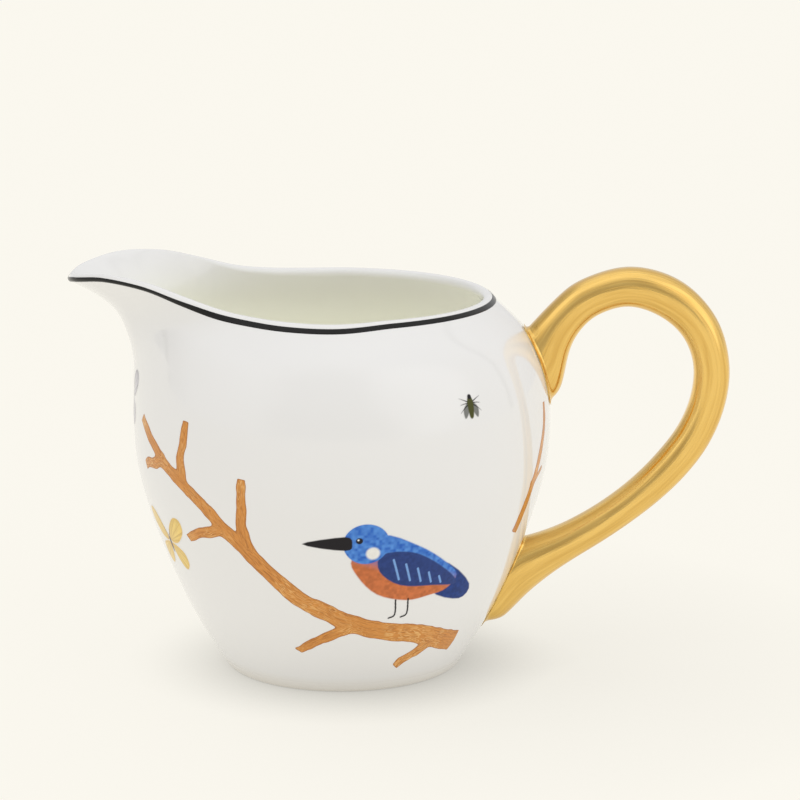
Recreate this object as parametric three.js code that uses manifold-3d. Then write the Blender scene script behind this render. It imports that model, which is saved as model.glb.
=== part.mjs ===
// Porcelain cream jug: a cast bowl with a pulled pouring lip, a gilt loop handle luted on with slip,
// a black rim line, and fired transfers of bare branches, a small blue bird and insects.
// Millimetres, +Z up, Z = 0 is the surface the jug stands on. The handle points along +X and the lip
// along -X.

import * as THREE from 'three';
import { mergeVertices } from 'three/addons/utils/BufferGeometryUtils.js';
import Module from 'manifold-3d';

const wasm = await Module();
wasm.setup();

// ---------- driving dimensions ----------

// Outer radius of the round bowl at each height. The first and last rows lie past the wall
// and only aim its ends.
const BOWL_PROFILE = [
  [-8, 20.8], [1, 26.4], [8, 30.7], [16, 34.9], [26, 39.1], [36, 42.6], [46, 45.0],
  [56, 45.6], [64, 44.7], [70, 42.7], [75, 39.7], [81, 33.7], [88, 27.0], [96, 20.0],
];

// The lip is pulled out of the wall above LIP_START. Angles run from the handle (0) to the lip (180),
// both sides alike.
const LIP_START = 52;
const LIP_SWEEP = 3.7;
const LIP_REACH = [
  [0, 0], [70, 0.2], [90, 1.8], [105, 2.0], [120, 3.2], [132, 6.3],
  [143, 12.4], [153, 18.9], [163, 25.3], [172, 29.2], [180, 29.6],
];
const RIM_HEIGHT = [
  [0, 82], [70, 82], [90, 81.7], [105, 81.8], [120, 82.3], [132, 83.2],
  [143, 85.2], [153, 87.2], [163, 87.9], [172, 86.5], [180, 85.4],
];

// The wall's thickness at the rim, by the same angles: it thins towards the lip.
const WALL_AT_RIM = [[0, 2.4], [100, 2.4], [130, 2.2], [155, 1.7], [180, 1.5]];
const WALL_AT_FOOT = 3.2;
const FLOOR_HEIGHT = 4.6;
const FLOOR_FILLET_START = 8;
// Inside rings between the wall and the floor: how far in from the outer wall, and how far above the floor.
const FLOOR_FILLET = [[5.2, 0.9], [8.4, 0]];
const FOOT_OUTER = 25.2;
const FOOT_INNER = 22.8;
const FOOT_EDGE = 1.2;
const RECESS_DEPTH = 1.8;
const RECESS_RADIUS = 21.6;

const GAP = 0.3;
const FILM = 0.3;
const RIM_LINE_WIDTH = 1.0;
const RIM_LINE_DROP = 0.15;
const FILM_TOP_DROP = 1.6;

// Handle sections from the upper root to the lower root: the point on the outside of the loop (x, z),
// the point on its inside (x, z), and the width across the jug.
const HANDLE_SECTIONS = [
  [35.0, 68.0, 42.0, 57.2, 10.4],
  [38.6, 72.6, 47.4, 60.0, 10.2],
  [41.0, 75.2, 48.7, 64.9, 9.6],
  [43.6, 78.1, 49.9, 70.8, 9.0],
  [47.0, 81.6, 52.6, 75.2, 8.8],
  [51.1, 85.0, 55.9, 77.9, 8.8],
  [62.5, 88.4, 62.4, 79.7, 8.9],
  [73.8, 85.3, 69.1, 77.6, 8.9],
  [81.7, 77.2, 74.4, 73.0, 8.6],
  [84.8, 67.1, 76.9, 66.5, 8.4],
  [84.0, 57.7, 76.4, 59.4, 8.4],
  [80.6, 48.9, 73.8, 52.8, 8.4],
  [75.7, 42.0, 69.7, 47.1, 8.4],
  [69.9, 36.2, 64.9, 41.9, 8.4],
  [63.8, 31.3, 59.5, 37.3, 8.4],
  [57.7, 27.0, 53.6, 33.3, 8.6],
  [51.7, 23.2, 47.3, 30.0, 9.0],
  [46.6, 19.7, 41.4, 27.9, 9.8],
  [41.4, 15.4, 36.8, 26.6, 10.6],
  [37.0, 10.8, 33.2, 22.0, 11.0],
  [34.6, 9.0, 30.6, 16.0, 10.6],
  [29.5, 8.6, 27.5, 12.6, 9.0],
];
const HANDLE_SUBSTEPS = 2;
const HANDLE_SIDES = 14;
const HANDLE_SQUARENESS = 2.3;
const SLIP_THICKNESS = 0.6;
const SLIP_SPREAD = 1.1;

// Angular grid round the jug, closer together at the lip.
const GRID_SIDES = 48;
const GRID_CROWDING = 28;
const WALL_ROWS = 12;
const WALL_CROWDING = 1.35;
const INNER_ROWS = 9;
const RIM_ROWS = 3;

// ---------- small maths ----------

const radians = THREE.MathUtils.degToRad;

// A smooth curve through rows of [x, y].
function along(rows, x) {
  const last = rows.length - 1;
  const at = THREE.MathUtils.clamp(x, rows[0][0], rows[last][0]);
  let i = 0;
  while (i < last - 1 && at >= rows[i + 1][0]) i += 1;
  const slope = (k) => {
    if (k <= 0 || k >= last) return 0;
    return (rows[k + 1][1] - rows[k - 1][1]) / (rows[k + 1][0] - rows[k - 1][0]);
  };
  const step = rows[i + 1][0] - rows[i][0];
  const s = (at - rows[i][0]) / step;
  const rise = s * s * (3 - 2 * s);
  return rows[i][1] * (1 - rise) + rows[i + 1][1] * rise
    + s * (1 - s) * (1 - s) * step * slope(i) - s * s * (1 - s) * step * slope(i + 1);
}

// Degrees away from the handle, 0 to 180, whichever side.
function fromHandle(theta) {
  const turned = ((theta % 360) + 360) % 360;
  return Math.min(turned, 360 - turned);
}

// ---------- the wall of the bowl ----------

function rimHeight(theta) {
  return along(RIM_HEIGHT, fromHandle(theta));
}

function wallRadius(theta, z) {
  const pull = Math.max(0, (z - LIP_START) / (rimHeight(theta) - LIP_START));
  return along(BOWL_PROFILE, z) + along(LIP_REACH, fromHandle(theta)) * pull ** LIP_SWEEP;
}

function wallPoint(theta, z) {
  const r = wallRadius(theta, z);
  return new THREE.Vector3(r * Math.cos(radians(theta)), r * Math.sin(radians(theta)), z);
}

// Unit vectors at a wall point: straight up the wall, and out of it.
function wallFrame(theta, z) {
  const up = wallPoint(theta, z + 0.05).sub(wallPoint(theta, z - 0.05)).normalize();
  const round = wallPoint(theta + 0.1, z).sub(wallPoint(theta - 0.1, z)).normalize();
  const out = new THREE.Vector3().crossVectors(round, up).normalize();
  return { up, out };
}

function offWall(theta, z, distance) {
  return wallPoint(theta, z).addScaledVector(wallFrame(theta, z).out, distance);
}

// Height of the point that lies so far below the rim's outer edge, measured down the wall.
function belowRim(theta, distance) {
  const top = rimHeight(theta);
  return top - distance * wallFrame(theta, top).up.z;
}

const GRID_ANGLES = Array.from({ length: GRID_SIDES }, (_, k) => {
  const even = (360 * k) / GRID_SIDES;
  return even + GRID_CROWDING * Math.sin(radians(even));
});

// ---------- turning rings of points into closed solids ----------

function indexedGeometry(points, triangles) {
  const geometry = new THREE.BufferGeometry();
  const numbers = points.flatMap((p) => [p.x, p.y, p.z]);
  geometry.setAttribute('position', new THREE.Float32BufferAttribute(numbers, 3));
  geometry.setIndex(triangles.flat());
  geometry.computeVertexNormals();
  return geometry;
}

function bandTriangles(lower, upper, sides) {
  const triangles = [];
  for (let k = 0; k < sides; k += 1) {
    const next = (k + 1) % sides;
    triangles.push([lower + k, lower + next, upper + next], [lower + k, upper + next, upper + k]);
  }
  return triangles;
}

// Rings run counter-clockwise about the way they advance; each end closes on a centre point.
function cappedRings(first, rings, last) {
  const sides = rings[0].length;
  const points = [first, ...rings.flat(), last];
  const triangles = [];
  rings.slice(1).forEach((_, i) => {
    triangles.push(...bandTriangles(1 + i * sides, 1 + (i + 1) * sides, sides));
  });
  const top = 1 + (rings.length - 1) * sides;
  for (let k = 0; k < sides; k += 1) {
    const next = (k + 1) % sides;
    triangles.push([0, 1 + next, 1 + k], [points.length - 1, top + k, top + next]);
  }
  return indexedGeometry(points, triangles);
}

// Rings whose last one joins the first, as in a hoop.
function loopedRings(rings) {
  const sides = rings[0].length;
  const triangles = rings.flatMap((_, i) => {
    return bandTriangles(i * sides, ((i + 1) % rings.length) * sides, sides);
  });
  return indexedGeometry(rings.flat(), triangles);
}

function ringOnGrid(pointAt) {
  return GRID_ANGLES.map(pointAt);
}

function flatRing(radius, z) {
  return ringOnGrid((theta) => {
    return new THREE.Vector3(radius * Math.cos(radians(theta)), radius * Math.sin(radians(theta)), z);
  });
}

// ---------- booleans ----------

function toSolid(geometry) {
  const bare = geometry.clone();
  bare.deleteAttribute('normal');
  bare.deleteAttribute('uv');
  const merged = mergeVertices(bare);
  return new wasm.Manifold(new wasm.Mesh({
    numProp: 3,
    vertProperties: new Float32Array(merged.attributes.position.array),
    triVerts: new Uint32Array(merged.index.array),
  }));
}

function toGeometry(solid) {
  const mesh = solid.getMesh();
  const geometry = new THREE.BufferGeometry();
  geometry.setAttribute('position', new THREE.Float32BufferAttribute(Array.from(mesh.vertProperties), 3));
  geometry.setIndex(Array.from(mesh.triVerts));
  geometry.computeVertexNormals();
  return geometry;
}

// ---------- jug body ----------

// Heights of the wall's rows, from the foot's edge to just under the rim line, closer together at the top.
function wallHeightAt(theta, row) {
  const share = 1 - (1 - row / WALL_ROWS) ** WALL_CROWDING;
  return FOOT_EDGE + (belowRim(theta, FILM_TOP_DROP) - FOOT_EDGE) * share;
}

function jugBody() {
  const rings = [flatRing(RECESS_RADIUS, RECESS_DEPTH), flatRing(FOOT_INNER, 0), flatRing(FOOT_OUTER, 0)];
  for (let i = 0; i <= WALL_ROWS; i += 1) {
    rings.push(ringOnGrid((theta) => wallPoint(theta, wallHeightAt(theta, i))));
  }
  for (let i = 0; i <= RIM_ROWS; i += 1) {
    const turn = (Math.PI * i) / (RIM_ROWS + 1);
    rings.push(ringOnGrid((theta) => {
      const top = rimHeight(theta);
      const half = along(WALL_AT_RIM, fromHandle(theta)) / 2;
      const { up, out } = wallFrame(theta, top);
      return wallPoint(theta, top)
        .addScaledVector(out, -half * (1 - Math.cos(turn)))
        .addScaledVector(up, half * Math.sin(turn));
    }));
  }
  for (let i = INNER_ROWS; i >= 0; i -= 1) {
    const share = i / INNER_ROWS;
    rings.push(ringOnGrid((theta) => {
      const atRim = along(WALL_AT_RIM, fromHandle(theta));
      const thickness = THREE.MathUtils.lerp(WALL_AT_FOOT, atRim, share);
      const z = FLOOR_FILLET_START + (rimHeight(theta) - FLOOR_FILLET_START) * share;
      return offWall(theta, z, -thickness);
    }));
  }
  FLOOR_FILLET.forEach(([inset, rise]) => {
    rings.push(flatRing(wallRadius(0, FLOOR_FILLET_START) - inset, FLOOR_HEIGHT + rise));
  });
  const underside = new THREE.Vector3(0, 0, RECESS_DEPTH);
  const inside = new THREE.Vector3(0, 0, FLOOR_HEIGHT);
  return cappedRings(underside, rings, inside);
}

// The bowl with its hollow filled in, grown by a distance: what the handle is cut back from.
function filledBowl(growth) {
  const rings = [];
  for (let i = 0; i <= WALL_ROWS; i += 1) {
    rings.push(ringOnGrid((theta) => offWall(theta, wallHeightAt(theta, i), growth)));
  }
  const bottom = new THREE.Vector3(0, 0, FOOT_EDGE);
  const top = new THREE.Vector3(0, 0, rimHeight(0));
  return cappedRings(bottom, rings, top);
}

// A thin skin that follows the outside of the wall, from just above the foot to just under the rim line.
function wallSkin(inner, outer) {
  const rings = [];
  for (let i = 0; i <= WALL_ROWS; i += 1) {
    rings.push(ringOnGrid((theta) => offWall(theta, wallHeightAt(theta, i), outer)));
  }
  for (let i = WALL_ROWS; i >= 0; i -= 1) {
    rings.push(ringOnGrid((theta) => offWall(theta, wallHeightAt(theta, i), inner)));
  }
  return loopedRings(rings);
}

// ---------- rim line ----------

function rimLine() {
  const corner = (drop, distance) => {
    return ringOnGrid((theta) => offWall(theta, belowRim(theta, drop), distance));
  };
  const top = RIM_LINE_DROP;
  const bottom = RIM_LINE_DROP + RIM_LINE_WIDTH;
  return loopedRings([
    corner(bottom, GAP + FILM), corner(top, GAP + FILM), corner(top, GAP), corner(bottom, GAP),
  ]);
}

// ---------- handle and its slip joints ----------

function handleSection(share, spread) {
  const value = (column) => along(HANDLE_SECTIONS.map((row, i) => [i, row[column]]), share);
  const outer = new THREE.Vector3(value(0), 0, value(1));
  const inner = new THREE.Vector3(value(2), 0, value(3));
  const centre = outer.clone().add(inner).multiplyScalar(0.5);
  const reach = outer.clone().sub(centre).multiplyScalar(spread);
  const halfWidth = (value(4) / 2) * spread;
  const squared = (unit) => Math.sign(unit) * Math.abs(unit) ** (2 / HANDLE_SQUARENESS);
  return {
    centre,
    ring: Array.from({ length: HANDLE_SIDES }, (_, k) => {
      const turn = (2 * Math.PI * k) / HANDLE_SIDES;
      return centre.clone()
        .addScaledVector(reach, squared(Math.cos(turn)))
        .add(new THREE.Vector3(0, -halfWidth * squared(Math.sin(turn)), 0));
    }),
  };
}

function handleSweep(spread) {
  const count = (HANDLE_SECTIONS.length - 1) * HANDLE_SUBSTEPS;
  const sections = Array.from({ length: count + 1 }, (_, i) => handleSection(i / HANDLE_SUBSTEPS, spread));
  return cappedRings(sections[0].centre, sections.map((s) => s.ring), sections[count].centre);
}

const SLIP_INNER = GAP;
const SLIP_OUTER = GAP + SLIP_THICKNESS;

function handle() {
  const clearance = SLIP_OUTER + GAP;
  return toGeometry(toSolid(handleSweep(1)).subtract(toSolid(filledBowl(clearance))));
}

// Both seams come from one thin skin cut by the handle's own section, then parted at mid height.
function slipJoints() {
  const seam = toSolid(wallSkin(SLIP_INNER, SLIP_OUTER))
    .intersect(toSolid(handleSweep(SLIP_SPREAD)));
  const [first, second] = seam.decompose();
  const middleHeight = (solid) => {
    const box = solid.boundingBox();
    return (box.min[2] + box.max[2]) / 2;
  };
  const upperFirst = middleHeight(first) > middleHeight(second);
  return {
    upper: toGeometry(upperFirst ? first : second),
    lower: toGeometry(upperFirst ? second : first),
  };
}

// ---------- transfers ----------
// Drawn on the unrolled wall as [degrees, height]. Degrees run from the middle of the front face (0),
// positive towards the handle; the back face is centred on 180.

// Radii between which an outline is stretched into a cutter, well inside and well outside the wall.
const CUTTER_INNER = 15;
const CUTTER_OUTER = 80;

// A solid wedge that pierces the wall wherever the outline covers it.
function piercingSolid(outline) {
  const shape = new THREE.Shape(outline.map(([degrees, z]) => new THREE.Vector2(degrees, z)));
  const depth = CUTTER_OUTER - CUTTER_INNER;
  const geometry = new THREE.ExtrudeGeometry(shape, { depth, bevelEnabled: false });
  const position = geometry.attributes.position;
  for (let i = 0; i < position.count; i += 1) {
    const angle = radians(position.getX(i) - 90);
    const radius = CUTTER_INNER + position.getZ(i);
    position.setXYZ(i, radius * Math.cos(angle), radius * Math.sin(angle), position.getY(i));
  }
  return toSolid(geometry);
}

// The outline of a limb, from a centre line of [degrees, height, half width].
function limbOutline(points) {
  const scale = (z) => (Math.PI / 180) * along(BOWL_PROFILE, z);
  const sides = points.map(([degrees, z, half], i) => {
    const before = points[Math.max(0, i - 1)];
    const after = points[Math.min(points.length - 1, i + 1)];
    const way = new THREE.Vector2((after[0] - before[0]) * scale(z), after[1] - before[1]).normalize();
    return [
      [degrees - (way.y * half) / scale(z), z + way.x * half],
      [degrees + (way.y * half) / scale(z), z - way.x * half],
    ];
  });
  return [...sides.map(([left]) => left), ...sides.map(([, right]) => right).reverse()];
}

function union(solids) {
  return solids.reduce((whole, solid) => whole.add(solid));
}

// A limb that starts at a place on the wall and sways: length in millimetres, directions in degrees.
function bentLimb(start, length, way, bend, sway, [thick, thin], steps) {
  let [degrees, z] = start;
  return Array.from({ length: steps + 1 }, (_, i) => {
    const share = i / steps;
    const station = [degrees, z, thick + (thin - thick) * share];
    const turn = ((way + bend * share + sway * Math.sin(3 * Math.PI * share)) * Math.PI) / 180;
    degrees += (Math.cos(turn) * length) / steps / ((Math.PI / 180) * along(BOWL_PROFILE, z));
    z += (Math.sin(turn) * length) / steps;
    return station;
  });
}

// One stem climbs from low by the handle to high by the lip, and twigs leave it: [station, side, length].
const STEM_WAY = 158;
const STEM_BEND = -26;
const STEM_STEPS = 14;
const STEM = bentLimb([50, 10], 95, STEM_WAY, STEM_BEND, 12, [2.8, 1.3], STEM_STEPS);
const TWIGS = [[1, -1, 11], [4, -1, 15], [8, 1, 17], [9, -1, 13], [11, 1, 14], [12, -1, 10]];
const TWIG_LEAN = { up: -50, down: 52 };
const FRONT_LIMBS = [STEM, ...TWIGS.map(([station, side, length]) => bentLimb(
  STEM[station].slice(0, 2), length,
  STEM_WAY + (STEM_BEND * station) / STEM_STEPS + (side > 0 ? TWIG_LEAN.up : TWIG_LEAN.down),
  -14 * side, 5, [1.7, 1.0], 5,
))];
const UPPER_TWIG_LIMBS = [
  bentLimb([62, 34], 29, 66, 8, 6, [1.5, 0.9], 6),
  bentLimb([65.5, 44], 7, 20, 12, 0, [0.9, 0.5], 3),
];

// Points of a print, in millimetres round its middle (degrees, height), as places on the wall.
function placed([degrees, z], points) {
  const scale = (Math.PI / 180) * along(BOWL_PROFILE, z);
  return points.map(([x, y]) => [degrees + x / scale, z + y]);
}

const BIRD = placed([20, 31], [
  [-22, 6.6], [-13, 9.2], [-9, 11.6], [-5, 9.8], [2, 6], [9, 1.4], [18.4, -6], [16, -10], [7, -7.4], [1, -8],
  [-6, -6], [-11, -1.4], [-12.6, 4.4],
]);
const BIRD_MARGIN = 1.1;

// An upright oval.
function oval(halfWidth, halfHeight) {
  return Array.from({ length: 12 }, (_, k) => {
    const turn = (Math.PI * k) / 6;
    return [halfWidth * Math.cos(turn), halfHeight * Math.sin(turn)];
  });
}

const WINGED_OUTLINE = [
  [0, 2], [3, 5], [7, 6.5], [8, 4], [5.5, 0], [6, -3.5], [3.5, -6], [0, -4],
  [-3.5, -6], [-6, -3.5], [-5.5, 0], [-8, 4], [-7, 6.5], [-3, 5],
];
const FLY = placed([38, 65.4], oval(3.4, 4.2));
const BUTTERFLY = placed([-62, 32], WINGED_OUTLINE);
const MOTH = placed([-84, 61], WINGED_OUTLINE);

const BACK_LIMBS = [
  [[112.0, 66.0, 0.8], [118.0, 58.0, 1.4], [126.0, 50.0, 1.9], [140.0, 41.0, 2.3], [154.0, 33.0, 2.5],
    [168.0, 24.0, 2.6], [176.0, 14.0, 2.6], [182.0, 8.0, 2.0]],
  [[128.0, 49.0, 1.5], [127.0, 59.0, 1.6], [131.0, 68.0, 1.9]],
  [[152.0, 34.5, 1.8], [156.0, 45.0, 1.8], [153.0, 56.0, 1.7], [157.0, 68.0, 2.0]],
  [[154.0, 52.0, 1.3], [163.0, 58.0, 1.4], [172.0, 60.0, 1.8]],
  [[166.0, 26.0, 2.0], [182.0, 28.0, 2.0], [198.0, 34.0, 1.9], [210.0, 44.0, 1.8], [214.0, 56.0, 1.7],
    [220.0, 68.0, 2.0]],
  [[208.0, 42.0, 1.5], [222.0, 42.0, 1.5], [236.0, 46.0, 1.8]],
  [[150.0, 35.0, 1.6], [140.0, 28.0, 1.5], [130.0, 25.0, 1.9]],
  [[176.0, 16.0, 1.8], [192.0, 15.0, 1.7], [208.0, 19.0, 1.9]],
];
const BACK_BUTTERFLY = placed([180, 47], WINGED_OUTLINE);

// An outline pushed out from its own middle, so that what it cuts stays clear of it.
function grown(outline, margin) {
  const mean = (column) => outline.reduce((sum, point) => sum + point[column], 0) / outline.length;
  const middle = [mean(0), mean(1)];
  return outline.map(([degrees, z]) => {
    const away = new THREE.Vector2(degrees - middle[0], z - middle[1]);
    away.setLength(away.length() + margin);
    return [middle[0] + away.x, middle[1] + away.y];
  });
}

const film = toSolid(wallSkin(GAP, GAP + FILM));

function transfer(outlines, holes = []) {
  let solid = film.intersect(union(outlines.map(piercingSolid)));
  holes.forEach((hole) => {
    solid = solid.subtract(piercingSolid(hole));
  });
  return toGeometry(solid);
}

// ---------- materials and assembly ----------

const porcelain = { color: 0xf1eee9, roughness: 0.12, metalness: 0 };
const gilt = { color: 0xe0b04a, roughness: 0.22, metalness: 1 };
const slip = { color: 0xefe9df, roughness: 0.3, metalness: 0 };
const black = { color: 0x1c1a1a, roughness: 0.25, metalness: 0 };
const bark = { color: 0xd08d46, roughness: 0.3, metalness: 0 };
const blueFeather = { color: 0x3566ad, roughness: 0.3, metalness: 0 };
const insectGreen = { color: 0x34352a, roughness: 0.35, metalness: 0 };
const yellowWing = { color: 0xe6c574, roughness: 0.35, metalness: 0 };
const greyWing = { color: 0xa9a6ad, roughness: 0.35, metalness: 0 };

const jug = new THREE.Group();

function addPiece(name, geometry, look) {
  const mesh = new THREE.Mesh(geometry, new THREE.MeshStandardMaterial(look));
  mesh.name = name;
  jug.add(mesh);
}

const seams = slipJoints();
const birdClearance = grown(BIRD, BIRD_MARGIN);
addPiece('jug_body', jugBody(), porcelain);
addPiece('handle', handle(), gilt);
addPiece('upper_slip_joint', seams.upper, slip);
addPiece('lower_slip_joint', seams.lower, slip);
addPiece('rim_line', rimLine(), black);
addPiece('branch_transfer', transfer(FRONT_LIMBS.map(limbOutline), [birdClearance]), bark);
addPiece('upper_twig_transfer', transfer(UPPER_TWIG_LIMBS.map(limbOutline), [birdClearance]), bark);
addPiece('kingfisher_transfer', transfer([BIRD]), blueFeather);
addPiece('fly_transfer', transfer([FLY]), insectGreen);
addPiece('butterfly_transfer', transfer([BUTTERFLY]), yellowWing);
addPiece('moth_transfer', transfer([MOTH]), greyWing);
addPiece('back_branch_transfer', transfer(BACK_LIMBS.map(limbOutline)), bark);
addPiece('back_butterfly_transfer', transfer([BACK_BUTTERFLY]), yellowWing);

// The origin is under the middle of the whole jug, halfway between the lip's tip and the back of the handle.
const extent = new THREE.Box3().setFromObject(jug);
jug.position.x = -(extent.min.x + extent.max.x) / 2;

export default jug;
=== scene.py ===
"""Porcelain cream jug: fine glazed surfaces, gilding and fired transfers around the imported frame.

Lengths are in millimetres from the bowl's own axis until mesh_piece() turns them into metres in the row
frame. Wall positions are (degrees, height): theta runs from the handle (0) to the pouring lip (180).
"""

import math

import bpy
import numpy as np
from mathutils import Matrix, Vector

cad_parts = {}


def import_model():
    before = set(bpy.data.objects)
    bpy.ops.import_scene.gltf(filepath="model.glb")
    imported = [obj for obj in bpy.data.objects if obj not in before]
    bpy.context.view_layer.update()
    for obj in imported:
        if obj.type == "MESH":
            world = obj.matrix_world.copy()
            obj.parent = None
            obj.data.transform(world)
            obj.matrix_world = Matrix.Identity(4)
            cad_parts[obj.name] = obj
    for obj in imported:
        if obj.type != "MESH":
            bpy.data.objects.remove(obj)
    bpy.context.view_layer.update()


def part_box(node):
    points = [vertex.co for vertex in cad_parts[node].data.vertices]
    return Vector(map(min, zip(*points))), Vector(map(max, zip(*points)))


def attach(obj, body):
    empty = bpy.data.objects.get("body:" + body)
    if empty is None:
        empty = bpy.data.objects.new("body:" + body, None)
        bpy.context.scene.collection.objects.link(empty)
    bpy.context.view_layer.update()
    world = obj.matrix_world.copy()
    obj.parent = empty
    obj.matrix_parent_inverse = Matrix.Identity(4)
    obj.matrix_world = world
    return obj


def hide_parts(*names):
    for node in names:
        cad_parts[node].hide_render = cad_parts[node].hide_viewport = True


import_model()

# ---------- sizes taken from the frame ----------

MM = 0.001
BELLY_RADIUS = 45.6
AXIS_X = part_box("jug_body")[1].x / MM - BELLY_RADIUS

# ---------- the shape of the wall ----------

BOWL_PROFILE = [
    (-8, 20.8), (1, 26.4), (8, 30.7), (16, 34.9), (26, 39.1), (36, 42.6), (46, 45.0),
    (56, 45.6), (64, 44.7), (70, 42.7), (75, 39.7), (81, 33.7), (88, 27.0), (96, 20.0),
]
LIP_START = 52.0
LIP_SWEEP = 3.7
LIP_REACH = [
    (0, 0), (70, 0.2), (90, 1.8), (105, 2.0), (120, 3.2), (132, 6.3),
    (143, 12.4), (153, 18.9), (163, 25.3), (172, 29.05), (180, 29.45),
]
RIM_HEIGHT = [
    (0, 82), (70, 82), (90, 81.7), (105, 81.8), (120, 82.3), (132, 83.2),
    (143, 85.2), (153, 87.2), (163, 87.8), (172, 86.5), (180, 85.4),
]
WALL_AT_RIM = [(0, 2.4), (100, 2.4), (130, 2.2), (155, 1.7), (180, 1.5)]
WALL_AT_FOOT = 3.2
FLOOR_HEIGHT = 4.6
FOOT_OUTER = 25.2
FOOT_INNER = 22.8
FOOT_EDGE = 1.2
RECESS_DEPTH = 1.8


def along(rows, x):
    """A smooth curve through rows of (x, y)."""
    table = np.array(rows, float)
    xs, ys = table[:, 0], table[:, 1]
    slope = np.zeros(len(xs))
    slope[1:-1] = (ys[2:] - ys[:-2]) / (xs[2:] - xs[:-2])
    x = np.clip(np.asarray(x, float), xs[0], xs[-1])
    i = np.clip(np.searchsorted(xs, x, side="right") - 1, 0, len(xs) - 2)
    step = xs[i + 1] - xs[i]
    s = (x - xs[i]) / step
    rise = s * s * (3 - 2 * s)
    bend = s * (1 - s) * step * ((1 - s) * slope[i] - s * slope[i + 1])
    return ys[i] * (1 - rise) + ys[i + 1] * rise + bend


def softstep(x):
    x = np.clip(x, 0, 1)
    return x * x * (3 - 2 * x)


def from_handle(theta):
    return np.abs((np.asarray(theta, float) + 180) % 360 - 180)


def rim_height(theta):
    return along(RIM_HEIGHT, from_handle(theta))


def wall_point(theta, z):
    pull = np.clip((z - LIP_START) / (rim_height(theta) - LIP_START), 0, None)
    r = along(BOWL_PROFILE, z) + along(LIP_REACH, from_handle(theta)) * pull ** LIP_SWEEP
    t = np.radians(theta)
    return np.stack([r * np.cos(t), r * np.sin(t), z + 0 * r], -1)


def unit(v):
    return v / np.linalg.norm(v, axis=-1, keepdims=True)


def wall_frame(theta, z):
    """Unit vectors at a wall point: up the wall, and out of it."""
    up = unit(wall_point(theta, z + 0.02) - wall_point(theta, z - 0.02))
    round_ = unit(wall_point(theta + 0.05, z) - wall_point(theta - 0.05, z))
    return up, unit(np.cross(round_, up))


def off_wall(theta, z, distance):
    _, out = wall_frame(theta, z)
    return wall_point(theta, z) + out * np.asarray(distance)[..., None]


# ---------- making pieces ----------


def mesh_piece(name, points, faces, material, attributes=None, smooth=True):
    """A shown piece on the jug's one body, from points in millimetres off the bowl's axis."""
    points = np.asarray(points, float).reshape(-1, 3) + (AXIS_X, 0, 0)
    mesh = bpy.data.meshes.new(name)
    mesh.from_pydata((points * MM).tolist(), [], [list(map(int, f)) for f in faces])
    mesh.validate()
    for key, values in (attributes or {}).items():
        kind = "FLOAT_COLOR" if np.ndim(values) == 2 else "FLOAT"
        layer = mesh.attributes.new(key, kind, "POINT")
        holder = "color" if kind == "FLOAT_COLOR" else "value"
        layer.data.foreach_set(holder, np.asarray(values, float).ravel())
    if smooth:
        mesh.shade_smooth()
    piece = bpy.data.objects.new(name, mesh)
    bpy.context.scene.collection.objects.link(piece)
    mesh.materials.append(material)
    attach(piece, "root")
    return piece


def grid_faces(rows, sides, looped_rows=False):
    """Quads between rings of points; each ring closes on itself."""
    i = np.arange(rows if looped_rows else rows - 1)[:, None] * sides
    up = (i + sides) % (rows * sides)
    k = np.arange(sides)[None]
    n = (k + 1) % sides
    return np.stack([i + k, i + n, up + n, up + k], -1).reshape(-1, 4).tolist()


def capped_rings(rings, first, last):
    """Points and faces of a solid made of rings with a centre point at each end."""
    rows, sides = rings.shape[:2]
    points = np.vstack([rings.reshape(-1, 3), first, last])
    faces = grid_faces(rows, sides)
    top = (rows - 1) * sides
    for k in range(sides):
        n = (k + 1) % sides
        faces.append([rows * sides, n, k])
        faces.append([rows * sides + 1, top + k, top + n])
    return points, faces


# ---------- materials ----------


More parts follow.
